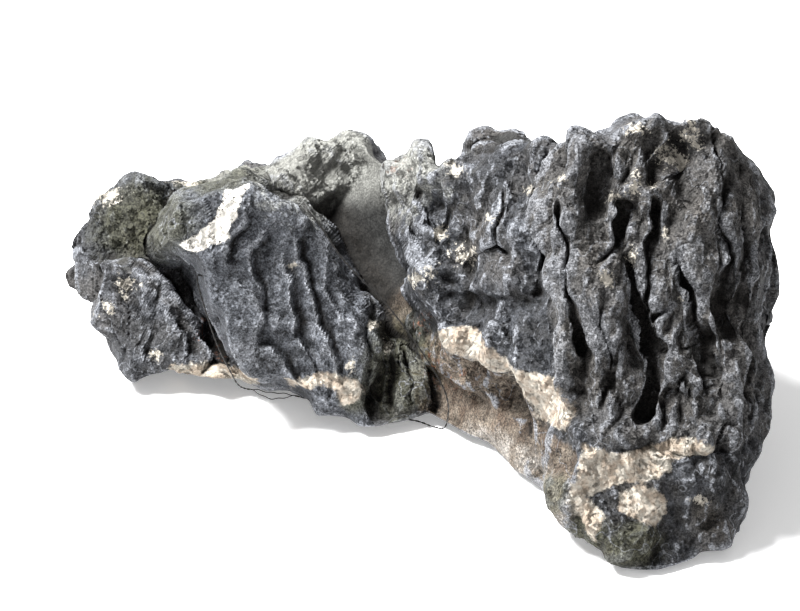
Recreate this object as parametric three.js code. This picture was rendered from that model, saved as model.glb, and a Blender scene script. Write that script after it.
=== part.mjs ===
// Scholar's rock: one natural limestone crag, with a thin wire tied round its middle lobe.
// The crag lies on its long side. Its broad face leans back, and every place on that face is given
// as [across, up] in the plane of the face. Depth is measured square to the face, into the stone.
import * as THREE from 'three';

// Driving dimensions, in millimetres unless the name says otherwise.
const FACE_LEAN = THREE.MathUtils.degToRad(30);
const STATIONS = 94; // closed outlines of the stone between its two ends
const FACE_ROWS = 30; // steps up the broad face on each outline
const BACK_ROWS = 18; // steps down the back and along the underside
const FINE_STATIONS = 300; // the outlines are first measured this finely,
const FINE_FACE_ROWS = 150; // and their points are then spread evenly
const FINE_BACK_ROWS = 70;
const OUTLINE_NEIGHBOURS = 14; // neighbours on each side that keep step with an outline
const ROW_NEIGHBOURS = 3; // and with a row
// 1 spreads the points along an outline or a row by length alone, 0 by height or place across alone
const EVEN_SHARE = { face: 0.6, back: 1, row: 0.8 };
const MIDDLE_FROM_FACE = 142.4; // the stone's middle behind the foot of its broad face
const MIDDLE_ACROSS = 0.5; // and to the right of where the face is measured from
const RIDGE_SETBACK = 14; // how far the ridge line lies behind the face
const RIDGE_INSET = 2; // the face's depth at the ridge is read this far below the skyline
const RIDGE_ROUND = 6; // rounding of the stone's top edge
const HEM_ROUND = 9; // rounding of its bottom edge
const HEM_RISE = 2.5; // the bottom edge stands this far above the underside
const BACK_FALL = 2.2; // depth gained for each millimetre down the back
const BACK_JOIN = 12; // rounding where that fall meets the back wall
const THINNEST = 7; // no part of the crag is thinner than this
const WANDER = 3.2; // how far the outlines of the blocks wander
const WANDER_SIZE = 22; // and over what length they do so
const BLOCK_JOIN = 4; // rounding where two blocks meet
const ROUGH_JOIN = 8; // roughness passes from one block to the next over this depth
const PATH_FADE = 0.12; // part of a flute or ledge at each end over which it fades out
const LUMP_SIZE = 36; // lumps over the whole stone
const LUMP_HEIGHT = 4;
const LUMP_LAYERS = 3;
const LAYER_TURN = 0.65; // radians from one layer of lumps to the next
const SCALLOP_SIZE = 18; // broken faces between sharp ridges
const SCALLOP_LEVEL = 0.3; // scallops deeper than this press in, and their ridges stand out
const RIDGE_HEIGHT = 6;
const BED_ROUGH = 0.22; // the worn bed of the gully is smooth
const BACK_ROUGH = 1.7;
const ROUGH_ABOVE = 8; // the stone is fully rough from this height above its underside
const SEEDS = { wanderAcross: 11, wanderUp: 23, scallops: 31, lumps: 5 };
const ENDS = {
  left: { at: -180, up: 158, depth: 186, round: 30 },
  right: { at: 180, up: 122, depth: 80, round: 46 },
};

// The skyline, where the face meets the back, from the left end to the right end.
const SKYLINE = [
  [-180, 158], [-178, 170], [-172, 180], [-160, 191], [-145, 195], [-133, 197], [-125, 201],
  [-100, 204], [-95, 201], [-88, 202], [-75, 198], [-69, 200], [-60, 208], [-55, 214], [-47, 214],
  [-35, 220], [-27, 216], [-20, 208], [-14, 205], [-4, 205], [0, 212], [5, 212], [10, 200],
  [20, 200], [25, 204], [30, 216], [42, 215], [50, 218], [56, 214], [75, 210], [81, 213],
  [95, 214], [102, 219], [110, 222], [124, 223], [137, 226], [145, 224], [158, 216], [168, 202],
  [175, 178], [179, 148], [180, 122],
];

// The hem, where the face meets the underside, from the left end to the right end.
const HEM = [
  [-180, 158], [-175, 138], [-168, 126], [-160, 117], [-149, 94], [-145, 90], [-125, 94],
  [-90, 92], [-79, 86], [-65, 86], [-55, 80], [-50, 73], [-35, 72], [-29, 68], [-19, 68],
  [7, 74], [15, 70], [35, 60], [55, 45], [72, 26], [76, 18], [90, 11], [95, 6], [105, 2],
  [117, 1], [132, 4], [145, 12], [157, 26], [168, 48], [176, 82], [180, 122],
];

// The blocks that stand out of the face. A block's surface is a plane, given by its depth at one
// place and by how much deeper it gets for each millimetre across and up. Its edge is rounded, and
// beyond the edge its flank falls back steeply. rough scales the lumps on it.
const BLOCKS = [
  { // mossy wall behind the left block
    outline: [[-193, 162], [-178, 180], [-160, 193], [-133, 202], [-88, 206], [-70, 200], [-53, 188],
      [-42, 162], [-43, 132], [-63, 108], [-133, 108], [-178, 122]],
    place: [-133, 168], depth: 170, across: -0.02, up: 0.22, round: 10, flank: 2.5, rough: 0.7,
  },
  { // peak above the gully
    outline: [[-77, 195], [-63, 208], [-55, 216], [-36, 222], [-22, 214], [-15, 208], [-2, 208],
      [4, 188], [-14, 196], [-34, 192], [-46, 180], [-58, 172]],
    place: [-36, 208], depth: 155, across: 0.05, up: 0.1, round: 7, flank: 0.9, rough: 0.6,
  },
  { // knobbly left block
    outline: [[-193, 152], [-173, 158], [-158, 155], [-144, 150], [-128, 138], [-116, 122],
      [-106, 102], [-109, 90], [-147, 86], [-158, 108], [-173, 120], [-188, 135]],
    place: [-138, 120], depth: 140, across: 0.05, up: 0.22, round: 8, flank: 6, rough: 0.7,
  },
  { // low knobs at the right foot of the lobe
    outline: [[-38, 138], [-22, 128], [-12, 112], [6, 100], [16, 84], [14, 72], [-3, 66], [-23, 62],
      [-33, 82]],
    place: [-13, 88], depth: 112, across: 0.06, up: 0.1, round: 6, flank: 4, rough: 0.9,
  },
  { // middle lobe, the big slab that the wire is tied round
    outline: [[-128, 168], [-122, 180], [-108, 188], [-86, 190], [-77, 185], [-58, 176], [-47, 164],
      [-32, 134], [-16, 108], [-19, 96], [-27, 82], [-21, 64], [-50, 68], [-60, 76], [-86, 90],
      [-92, 110], [-106, 142], [-115, 156], [-125, 162]],
    place: [-73, 128], depth: 97, across: 0.14, up: -0.02, round: 6, flank: 8, rough: 0.35,
  },
  { // slope that climbs from the gully towards the fluted mass
    outline: [[-14, 190], [-10, 200], [-2, 208], [1, 216], [5, 214], [10, 204], [25, 206], [72, 212],
      [92, 182], [92, 62], [75, 68], [64, 86], [42, 100], [12, 116], [4, 122], [-4, 138], [-12, 174]],
    place: [27, 162], depth: 66, across: -0.8, up: 0.1, round: 5, flank: 5, rough: 0.6,
  },
  { // shelf of pale calcite along the lower edge of that slope
    outline: [[10, 118], [27, 121], [50, 104], [67, 98], [76, 84], [77, 70], [66, 70], [55, 81],
      [37, 100], [13, 112]],
    place: [40, 103], depth: 63, across: -0.9, up: 0.1, round: 6, flank: 1.6, rough: 0.4,
  },
  { // flat-topped block on the skyline
    outline: [[23, 196], [27, 208], [30, 220], [51, 222], [75, 215], [78, 195], [62, 180], [32, 185]],
    place: [50, 202], depth: 80, across: -0.35, up: 0.2, round: 4, flank: 5, rough: 0.6,
  },
  { // fluted mass at the right
    outline: [[64, 190], [70, 204], [78, 214], [95, 218], [112, 227], [137, 230], [156, 226],
      [174, 204], [186, 168], [189, 118], [184, 72], [162, 60], [92, 60], [80, 66], [72, 92], [67, 132]],
    place: [112, 142], depth: 10, across: 0.06, up: 0.1, round: 9, flank: 4, rough: 0.5,
  },
  { // foot of the fluted mass
    outline: [[76, 82], [130, 84], [184, 84], [182, 48], [166, 26], [148, 6], [122, -6], [105, -5],
      [85, 8], [75, 18], [70, 34], [72, 60]],
    place: [112, 32], depth: 3, across: 0.12, up: 0.1, round: 9, flank: 3, rough: 0.8,
  },
];

// Flutes: narrow channels worn into the stone along a path, with a half width and a depth.
const FLUTES = [
  { path: [[65, 202], [60, 172], [60, 158], [64, 140], [64, 122]], half: 3.2, depth: 8 },
  {
    path: [[70, 176], [74, 158], [69, 150], [68, 138], [74, 126], [77, 108], [75, 96]],
    half: 3.4,
    depth: 9,
  },
  { path: [[89, 204], [92, 196], [90, 184], [89, 174]], half: 4, depth: 12 },
  { path: [[98, 178], [98, 170], [99, 160], [93, 156], [84, 151]], half: 3.4, depth: 9 },
  { path: [[116, 180], [114, 158], [116, 150], [112, 138]], half: 3.6, depth: 9 },
  { path: [[100, 148], [104, 132], [115, 114], [117, 106], [113, 84], [102, 70]], half: 4, depth: 13 },
  { path: [[126, 132], [116, 124], [111, 120]], half: 3, depth: 8 },
  { path: [[136, 164], [134, 148], [137, 126], [136, 118], [144, 96], [142, 82]], half: 3.8, depth: 11 },
  { path: [[132, 94], [124, 90], [118, 64]], half: 3.6, depth: 9 },
  { path: [[132, 177], [124, 166], [118, 154]], half: 3, depth: 8 },
  { path: [[153, 198], [150, 172], [153, 152], [150, 132]], half: 3.6, depth: 9 },
  { path: [[163, 168], [161, 142], [165, 118], [161, 92], [163, 72]], half: 3.8, depth: 10 },
  { path: [[153, 118], [156, 96], [152, 74]], half: 3.4, depth: 8 },
  { path: [[20, 186], [17, 176], [13, 164]], half: 3.8, depth: 9 },
];

// Ledges: steps along a path. The stone drops back on the left hand of someone who walks the path,
// and comes forward again over its reach.
const LEDGES = [
  { path: [[-86, 190], [-94, 162], [-95, 150]], drop: 5.5, reach: 18 },
  { path: [[-74, 172], [-79, 158], [-77, 140], [-79, 125], [-73, 116]], drop: 5, reach: 16 },
  { path: [[-67, 164], [-60, 132], [-58, 118], [-62, 110]], drop: 4.5, reach: 14 },
  { path: [[-58, 170], [-55, 155], [-47, 122], [-38, 95]], drop: 5.5, reach: 14 },
  { path: [[-82, 118], [-74, 106], [-57, 86]], drop: 4.5, reach: 16 },
  { path: [[-133, 138], [-125, 124], [-117, 96]], drop: 3, reach: 12 },
  { path: [[-152, 148], [-142, 115], [-140, 96]], drop: 2.5, reach: 14 },
  { path: [[1, 194], [6, 180], [12, 148]], drop: 3.5, reach: 12 },
  { path: [[62, 132], [42, 134], [12, 132]], drop: 2.5, reach: 16 },
];

// The gully between the lobe and the slope falls from its head towards the hem, along a line that
// leans to the right, and its bed climbs to the right of that line and falls a little to the left of it.
const GULLY = {
  head: [-40.5, 162.5],
  down: [0.549, -0.836],
  depth: 160,
  fall: 0.38,
  climb: 0.5,
  leftReach: 10,
  rightReach: 45,
};
// The wedge climbs out of the gully, with a rounded top at its nearest.
const WEDGE = { at: 25, depth: 103, climb: 1.37, nearest: 32, round: 12 };
const BED_JOIN = 24; // rounding where the gully's bed meets the wedge

// Depth of the back, from the left end to the right end.
const BACK = [[-180, 204], [-110, 214], [-40, 216], [10, 206], [60, 182], [110, 166], [180, 148]];
// Height of the underside above the ground. The stone stands on a flat runner at each side, and between
// them its belly is just clear of the ground, with a small arch beside the left runner.
const UNDERSIDE = [[-119, 0], [-113, 8], [-102, 11.5], [-91, 8], [-85, 3.6], [24, 3.6], [36, 0]];

const WIRE_RADIUS = 0.35;
const WIRE_STEPS = 66;
// The wire's route as [across, up, depth]: out of the cleft at the lobe's left, down its edge, along
// the ground to the hem, under the lobe, and up over the gully to the lobe's shoulder.
const WIRE_ROUTE = [
  [-111, 144, 110], [-107, 128, 109], [-101, 110, 113], [-95, 97, 120], [-91, 89.5, 127], [-87, 87, 135],
  [-82, 86.5, 141], [-75, 85, 142], [-66, 84.2, 142], [-45, 79.5, 134.3], [-20, 74, 124.8], [0, 71, 119.6],
  [9, 68, 113.8], [14.5, 68, 102], [16.5, 75, 102.5], [16, 82, 105], [13, 90, 106], [6.5, 101, 106],
  [-3, 115, 107], [-15.5, 131, 107.5], [-28, 143.5, 106], [-38, 154.5, 105.5], [-47, 168, 106],
  [-54, 177.5, 107], [-57, 181.5, 111],
];

const sinLean = Math.sin(FACE_LEAN);
const cosLean = Math.cos(FACE_LEAN);
const clamp = THREE.MathUtils.clamp;
const mix = THREE.MathUtils.lerp;

// Straight-line reading of a list of [across, value] points, which runs from left to right.
function readLine(points, across) {
  let last = 1;
  while (last < points.length - 1 && points[last][0] < across) last += 1;
  const [startAt, startValue] = points[last - 1];
  const [endAt, endValue] = points[last];
  return mix(startValue, endValue, clamp((across - startAt) / (endAt - startAt), 0, 1));
}

// A random number from 0 to 1 that belongs to one cell of a space grid.
function cellValue(x, y, z, seed) {
  const wave = Math.sin(x * 127.1 + y * 311.7 + z * 74.7 + seed * 53.3) * 43758.5453;
  return wave - Math.floor(wave);
}

// Smooth noise from -1 to 1: the values of the eight cells around a point, blended.
function noise(x, y, z, seed) {
  const cell = [Math.floor(x), Math.floor(y), Math.floor(z)];
  const parts = [x - cell[0], y - cell[1], z - cell[2]];
  const blend = parts.map((part) => THREE.MathUtils.smootherstep(part, 0, 1));
  let total = 0;
  for (let corner = 0; corner < 8; corner += 1) {
    const step = [corner & 1, (corner >> 1) & 1, corner >> 2];
    const weight = step.reduce((product, on, axis) => product * (on ? blend[axis] : 1 - blend[axis]), 1);
    total += weight * cellValue(cell[0] + step[0], cell[1] + step[1], cell[2] + step[2], seed);
  }
  return 2 * total - 1;
}

// Layers of noise, each half as large and as strong as the one before and turned against it.
function lumps(point, size, layers, seed) {
  const turned = point.clone().divideScalar(size);
  const axis = new THREE.Vector3(0.36, 0.48, 0.8);
  let total = 0;
  for (let layer = 0; layer < layers; layer += 1) {
    total += noise(turned.x, turned.y, turned.z, seed + layer) / 2 ** layer;
    turned.applyAxisAngle(axis, LAYER_TURN).multiplyScalar(2);
  }
  return total;
}

// Scallops that meet in sharp ridges: the squared distance to the nearest of many scattered points.
function scallops(point, size, seed) {
  const spot = point.clone().divideScalar(size);
  const cell = spot.clone().floor();
  let nearest = Infinity;
  for (let x = cell.x - 1; x <= cell.x + 1; x += 1) {
    for (let y = cell.y - 1; y <= cell.y + 1; y += 1) {
      for (let z = cell.z - 1; z <= cell.z + 1; z += 1) {
        const gapX = x + cellValue(x, y, z, seed) - spot.x;
        const gapY = y + cellValue(x, y, z, seed + 1) - spot.y;
        const gapZ = z + cellValue(x, y, z, seed + 2) - spot.z;
        nearest = Math.min(nearest, gapX * gapX + gapY * gapY + gapZ * gapZ);
      }
    }
  }
  return nearest;
}

// The smaller of two numbers, with the corner between them rounded over a width.
function roundedMin(a, b, width) {
  const share = clamp(0.5 + (0.5 * (b - a)) / width, 0, 1);
  return mix(b, a, share) - width * share * (1 - share);
}

// Nearest point of a stretch from start to end: its distance, and how far along the stretch it is.
function nearStretch(across, up, start, end) {
  const runX = end[0] - start[0];
  const runY = end[1] - start[1];
  const along = ((across - start[0]) * runX + (up - start[1]) * runY) / (runX * runX + runY * runY);
  const part = clamp(along, 0, 1);
  return { part, distance: Math.hypot(across - start[0] - part * runX, up - start[1] - part * runY) };
}

// Distance in from a closed outline, negative outside it.
function insetFrom(outline, across, up) {
  let distance = Infinity;
  let inside = false;
  outline.forEach((start, index) => {
    const end = outline[(index + 1) % outline.length];
    distance = Math.min(distance, nearStretch(across, up, start, end).distance);
    const crosses = start[1] > up !== end[1] > up;
    const crossing = start[0] + ((up - start[1]) * (end[0] - start[0])) / (end[1] - start[1]);
    if (crosses && across < crossing) inside = !inside;
  });
  return inside ? distance : -distance;
}

// Distance to an open path, positive on its left hand, and a fade to nothing at the path's two ends.
function nearPath(path, across, up) {
  let best = { distance: Infinity };
  for (let index = 0; index + 1 < path.length; index += 1) {
    const start = path[index];
    const end = path[index + 1];
    const near = nearStretch(across, up, start, end);
    if (near.distance < best.distance) {
      const turn = (end[0] - start[0]) * (up - start[1]) - (end[1] - start[1]) * (across - start[0]);
      const along = (index + near.part) / (path.length - 1);
      best = { distance: near.distance, side: Math.sign(turn), along };
    }
  }
  const fade = clamp(Math.min(best.along, 1 - best.along) / PATH_FADE, 0, 1);
  return { distance: best.distance, signed: best.side * best.distance, fade };
}

// Depth of the gully's bed and of the wedge that climbs out of it to the right.
function bedDepth(across, up) {
  const [downX, downY] = GULLY.down;
  const fromHeadX = across - GULLY.head[0];
  const fromHeadY = up - GULLY.head[1];
  const along = fromHeadX * downX + fromHeadY * downY;
  const aside = clamp(-fromHeadX * downY + fromHeadY * downX, -GULLY.leftReach, GULLY.rightReach);
  const gully = GULLY.depth - GULLY.fall * along - GULLY.climb * aside;
  const climb = WEDGE.climb * (across - WEDGE.at) - WEDGE.depth;
  const wedge = -roundedMin(climb, -WEDGE.nearest, WEDGE.round);
  return roundedMin(gully, wedge, BED_JOIN);
}

// Depth of the broad face, and how rough it is: the bed and all the blocks, with ledges and flutes.
// The outlines wander a little, as broken stone does.
function readFace(acrossAt, upAt) {
  const spot = new THREE.Vector3(acrossAt, upAt, 0);
  const across = acrossAt + WANDER * lumps(spot, WANDER_SIZE, LUMP_LAYERS, SEEDS.wanderAcross);
  const up = upAt + WANDER * lumps(spot, WANDER_SIZE, LUMP_LAYERS, SEEDS.wanderUp);
  let depth = bedDepth(across, up);
  let rough = BED_ROUGH;
  BLOCKS.forEach((block) => {
    const inset = insetFrom(block.outline, across, up);
    const plane = block.depth + block.across * (across - block.place[0]) + block.up * (up - block.place[1]);
    const nearEdge = clamp(block.round - inset, 0, block.round);
    const rounding = block.round - Math.sqrt(block.round ** 2 - nearEdge ** 2);
    const surface = plane + (inset > 0 ? rounding : block.round - block.flank * inset);
    rough = mix(block.rough, rough, clamp(0.5 + (surface - depth) / ROUGH_JOIN, 0, 1));
    depth = roundedMin(depth, surface, BLOCK_JOIN);
  });
  LEDGES.forEach((ledge) => {
    const near = nearPath(ledge.path, across, up);
    if (near.signed > 0) depth += ledge.drop * near.fade * clamp(1 - near.signed / ledge.reach, 0, 1);
  });
  FLUTES.forEach((flute) => {
    const near = nearPath(flute.path, across, up);
    depth += flute.depth * Math.sqrt(near.fade) * Math.exp(-((near.distance / flute.half) ** 4));
  });
  return { depth, rough };
}

// Depth of the back: it falls away steeply behind the ridge to a wall.
function backDepth(across, up, ridgeUp, ridgeDepth) {
  const fall = ridgeDepth + RIDGE_SETBACK + BACK_FALL * (ridgeUp - up);
  return roundedMin(readLine(BACK, across), fall, BACK_JOIN);
}

// Depth at which a place on the face would meet a level that is some height above the ground.
function depthAtHeight(up, height) {
  return (up * cosLean - height) / sinLean;
}

// Quarter-circle rise from 0 at an edge to 1 at a distance in from it.
function roundedRise(distance, radius) {
  const short = 1 - clamp(distance / radius, 0, 1);
  return Math.sqrt(1 - short * short);
}

// A point given as across, up and depth on the leaning face, placed in the upright frame.
function standUp(point) {
  const back = point.y * sinLean + point.z * cosLean - MIDDLE_FROM_FACE;
  const height = point.y * cosLean - point.z * sinLean;
  return new THREE.Vector3(point.x - MIDDLE_ACROSS, back, height);
}

// One outline of the stone at a place across it, as two lists of points: up the face from the hem to
// the ridge, and down the back and the underside from the ridge to the hem. Each point's w is its roughness.
function stationOutline(across) {
  const top = readLine(SKYLINE, across);
  const bottom = readLine(HEM, across);
  const ground = readLine(UNDERSIDE, across);
  const fromLeft = roundedRise(across - ENDS.left.at, ENDS.left.round);
  const fromRight = roundedRise(ENDS.right.at - across, ENDS.right.round);
  const fullness = fromLeft * fromRight;
  const endDepth = fromLeft < fromRight ? ENDS.left.depth : ENDS.right.depth;
  const ridgeDepth = readFace(across, top - RIDGE_INSET).depth + RIDGE_SETBACK;
  const hemDepth = depthAtHeight(bottom, ground + HEM_RISE);

  const pointAt = (part, onFace) => {
    const up = mix(bottom, top, part);
    const floor = depthAtHeight(up, ground);
    const middle = Math.min(mix(endDepth, mix(hemDepth, ridgeDepth, part), fullness), floor);
    const edge = roundedRise(up - bottom, HEM_ROUND) * roundedRise(top - up, RIDGE_ROUND) * fullness;
    const face = readFace(across, up);
    const faceDepth = Math.min(face.depth, floor - THINNEST);
    const back = Math.min(Math.max(backDepth(across, up, top, ridgeDepth), faceDepth + THINNEST), floor);
    const depth = mix(middle, onFace ? faceDepth : back, edge);
    const rough = onFace ? mix(1, face.rough, edge) : BACK_ROUGH;
    const place = standUp(new THREE.Vector3(across, up, depth));
    return new THREE.Vector4(place.x, place.y, place.z, rough);
  };

  const parts = (count) => Array.from({ length: count + 1 }, (unused, row) => row / count);
  return {
    face: parts(FINE_FACE_ROWS).map((part) => pointAt(part, true)),
    back: parts(FINE_BACK_ROWS).map((part) => pointAt(1 - part, false)),
  };
}

// Points spread evenly along each of several neighbouring lines, count steps on each. Their places are
// averaged over some neighbours on both sides, so that new points on neighbouring lines stay side by side.
function spreadEvenly(lines, count, neighbours, evenShare) {
  const places = lines.map((line) => {
    const lengths = [0];
    for (let index = 1; index < line.length; index += 1) {
      const step = line[index].clone().sub(line[index - 1]);
      lengths.push(lengths[index - 1] + Math.hypot(step.x, step.y, step.z) + 1e-6);
    }
    const whole = lengths[line.length - 1];
    let index = 0;
    return Array.from({ length: count + 1 }, (unused, step) => {
      const target = (whole * step) / count;
      while (index < line.length - 2 && lengths[index + 1] < target) index += 1;
      return index + (target - lengths[index]) / (lengths[index + 1] - lengths[index]);
    });
  });
  return lines.map((line, own) => {
    const near = places.slice(Math.max(0, own - neighbours), own + neighbours + 1);
    return Array.from({ length: count + 1 }, (unused, step) => {
      const even = near.reduce((sum, other) => sum + other[step], 0) / near.length;
      const place = mix((step / count) * (line.length - 1), even, evenShare);
      const index = Math.min(Math.floor(place), line.length - 2);
      return line[index].clone().lerp(line[index + 1], place - index);
    });
  });
}

// The stone's evenly spread points: one list from the left end to the right end for each row around it.
function stoneRows() {
  const { left, right } = ENDS;
  const outlines = [];
  for (let station = 1; station <= FINE_STATIONS; station += 1) {
    outlines.push(stationOutline(mix(left.at, right.at, station / (FINE_STATIONS + 1))));
  }
  const spreadOutlines = (side, count) => {
    const lines = outlines.map((outline) => outline[side]);
    return spreadEvenly(lines, count, OUTLINE_NEIGHBOURS, EVEN_SHARE[side]);
  };
  const faces = spreadOutlines('face', FACE_ROWS);
  const backs = spreadOutlines('back', BACK_ROWS);
  const endPoint = (end) => {
    const place = standUp(new THREE.Vector3(end.at, end.up, end.depth));
    return new THREE.Vector4(place.x, place.y, place.z, 1);
  };
  const rows = [];
  for (let row = 0; row < FACE_ROWS + BACK_ROWS; row += 1) {
    const [lines, own] = row < FACE_ROWS ? [faces, row] : [backs, row - FACE_ROWS];
    rows.push([endPoint(left), ...lines.map((line) => line[own]), endPoint(right)]);
  }
  return spreadEvenly(rows, STATIONS + 1, ROW_NEIGHBOURS, EVEN_SHARE.row);
}

// Moves each corner of the stone along its normal, by lumps and by scallops that meet in ridges. The flat
// runners underneath keep their level.
function roughen(geometry, roughness) {
  const { position, normal } = geometry.attributes;
  for (let corner = 0; corner < position.count; corner += 1) {
    const place = new THREE.Vector3().fromBufferAttribute(position, corner);
    const outward = new THREE.Vector3().fromBufferAttribute(normal, corner);
    const ground = readLine(UNDERSIDE, place.x);
    const above = clamp((place.z - ground) / ROUGH_ABOVE, 0, 1);
    const ridges = RIDGE_HEIGHT * (scallops(place, SCALLOP_SIZE, SEEDS.scallops) - SCALLOP_LEVEL);
    const swell = LUMP_HEIGHT * lumps(place, LUMP_SIZE, LUMP_LAYERS, SEEDS.lumps);
    place.addScaledVector(outward, roughness[corner] * above * (ridges + swell));
    position.setXYZ(corner, place.x, place.y, Math.max(place.z, ground));
  }
  geometry.computeVertexNormals();
}

// The stone: rows of points from end to end, joined by triangles and drawn to a point at both ends.
function stoneGeometry() {
  const rows = stoneRows();
  const around = rows.length;
  const corners = [rows[0][0]];
  for (let station = 1; station <= STATIONS; station += 1) {
    corners.push(...rows.map((row) => row[station]));
  }
  corners.push(rows[0][STATIONS + 1]);

  const lastCorner = corners.length - 1;
  const lastRing = lastCorner - around;
  const triangles = [];
  for (let row = 0; row < around; row += 1) {
    const next = (row + 1) % around;
    triangles.push(0, 1 + row, 1 + next);
    for (let here = 1; here < lastRing; here += around) {
      const there = here + around;
      triangles.push(here + row, there + row, here + next);
      triangles.push(here + next, there + row, there + next);
    }
    triangles.push(lastRing + row, lastCorner, lastRing + next);
  }
  const geometry = new THREE.BufferGeometry();
  const places = corners.flatMap((corner) => [corner.x, corner.y, corner.z]);
  geometry.setAttribute('position', new THREE.Float32BufferAttribute(places, 3));
  geometry.setIndex(triangles);
  geometry.computeVertexNormals();
  roughen(geometry, corners.map((corner) => corner.w));
  return geometry;
}

// The wire: a six-sided section carried along its route.
function wireGeometry() {
  const sides = 6;
  const section = new THREE.Shape();
  for (let side = 0; side < sides; side += 1) {
    const angle = (side / sides) * 2 * Math.PI;
    const x = WIRE_RADIUS * Math.cos(angle);
    const y = WIRE_RADIUS * Math.sin(angle);
    if (side === 0) section.moveTo(x, y);
    else section.lineTo(x, y);
  }
  section.closePath();
  const route = WIRE_ROUTE.map((place) => standUp(new THREE.Vector3(...place)));
  const extrudePath = new THREE.CatmullRomCurve3(route);
  return new THREE.ExtrudeGeometry(section, { steps: WIRE_STEPS, extrudePath });
}

const limestone = new THREE.MeshStandardMaterial({ color: 0x55585f, roughness: 0.85, metalness: 0 });
const blackWire = new THREE.MeshStandardMaterial({ color: 0x26262a, roughness: 0.5, metalness: 0.8 });

const stone = new THREE.Mesh(stoneGeometry(), limestone);
stone.name = 'rock';
const wire = new THREE.Mesh(wireGeometry(), blackWire);
wire.name = 'tie_wire';

const scholarsRock = new THREE.Group();
scholarsRock.add(stone, wire);

export default scholarsRock;
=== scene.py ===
import math

import bpy
import numpy as np
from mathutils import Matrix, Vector


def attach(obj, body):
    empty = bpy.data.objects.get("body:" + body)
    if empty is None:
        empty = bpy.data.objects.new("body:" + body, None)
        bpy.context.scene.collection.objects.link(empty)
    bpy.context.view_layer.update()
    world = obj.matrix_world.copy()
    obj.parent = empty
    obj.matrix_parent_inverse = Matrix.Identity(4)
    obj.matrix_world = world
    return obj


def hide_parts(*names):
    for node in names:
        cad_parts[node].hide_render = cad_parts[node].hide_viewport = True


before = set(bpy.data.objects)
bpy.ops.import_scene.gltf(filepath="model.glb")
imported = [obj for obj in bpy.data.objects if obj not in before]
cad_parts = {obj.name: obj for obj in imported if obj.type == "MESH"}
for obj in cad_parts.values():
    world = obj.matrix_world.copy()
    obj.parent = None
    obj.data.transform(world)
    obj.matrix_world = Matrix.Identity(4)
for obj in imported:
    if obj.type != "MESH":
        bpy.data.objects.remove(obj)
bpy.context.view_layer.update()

# The rock
# One crag of dark blue-grey limestone, broken and weathered by water, that lies on its long side.
# Calcite veins, pale lime crust, algae and rust are all in its surface. Nothing is carved or joined.

# The stone is shaped on its broad face, which leans back: across it, up it and into it, in millimetres.
MM = 0.001
FACE_LEAN = math.radians(30)
SIN_LEAN = math.sin(FACE_LEAN)
COS_LEAN = math.cos(FACE_LEAN)
MIDDLE_FROM_FACE = 142.4
MIDDLE_ACROSS = 0.5
RIDGE_SETBACK = 14
RIDGE_INSET = 2
RIDGE_ROUND = 6
HEM_ROUND = 9
HEM_RISE = 2.5
BACK_FALL = 2.2
BACK_JOIN = 12
THINNEST = 7
# Characters: how rough, how fluted, how slabby and how much a worn bed the stone is.
BED_CHARACTER = np.array([0.22, 0, 0, 1])
BACK_CHARACTER = np.array([0.7, 0.5, 0.2, 0])
EDGE_CHARACTER = np.array([0.7, 0.3, 0.3, 0])
LEFT_END = dict(at=-180, up=158, depth=186, round=30)
RIGHT_END = dict(at=180, up=122, depth=80, round=46)

# The ridge and the hem as (across, up), the back as (across, depth), the underside as (across, height).
SKYLINE = np.array([
    (-180, 158), (-178, 170), (-172, 180), (-160, 191), (-145, 195), (-133, 197), (-125, 201),
    (-100, 204), (-95, 201), (-88, 202), (-75, 198), (-69, 200), (-60, 208), (-55, 214), (-47, 214),
    (-35, 220), (-27, 216), (-20, 208), (-14, 205), (-4, 205), (0, 212), (5, 212), (10, 200),
    (20, 200), (25, 204), (30, 216), (42, 215), (50, 218), (56, 214), (75, 210), (81, 213),
    (95, 214), (102, 219), (110, 222), (124, 223), (137, 226), (145, 224), (158, 216), (168, 202),
    (175, 178), (179, 148), (180, 122)])
HEM = np.array([
    (-180, 158), (-175, 138), (-168, 126), (-160, 117), (-149, 94), (-145, 90), (-125, 94),
    (-90, 92), (-79, 86), (-65, 86), (-55, 80), (-50, 73), (-35, 72), (-29, 68), (-19, 68),
    (7, 74), (15, 70), (35, 60), (55, 45), (72, 26), (76, 18), (90, 11), (95, 6), (105, 2),
    (117, 1), (132, 4), (145, 12), (157, 26), (168, 48), (176, 82), (180, 122)])
BACK = np.array([(-180, 204), (-110, 214), (-40, 216), (10, 206), (60, 182), (110, 166), (180, 148)])
UNDERSIDE = np.array([(-119, 0), (-113, 8), (-102, 11.5), (-91, 8), (-85, 3.6), (24, 3.6), (36, 0)])

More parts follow.
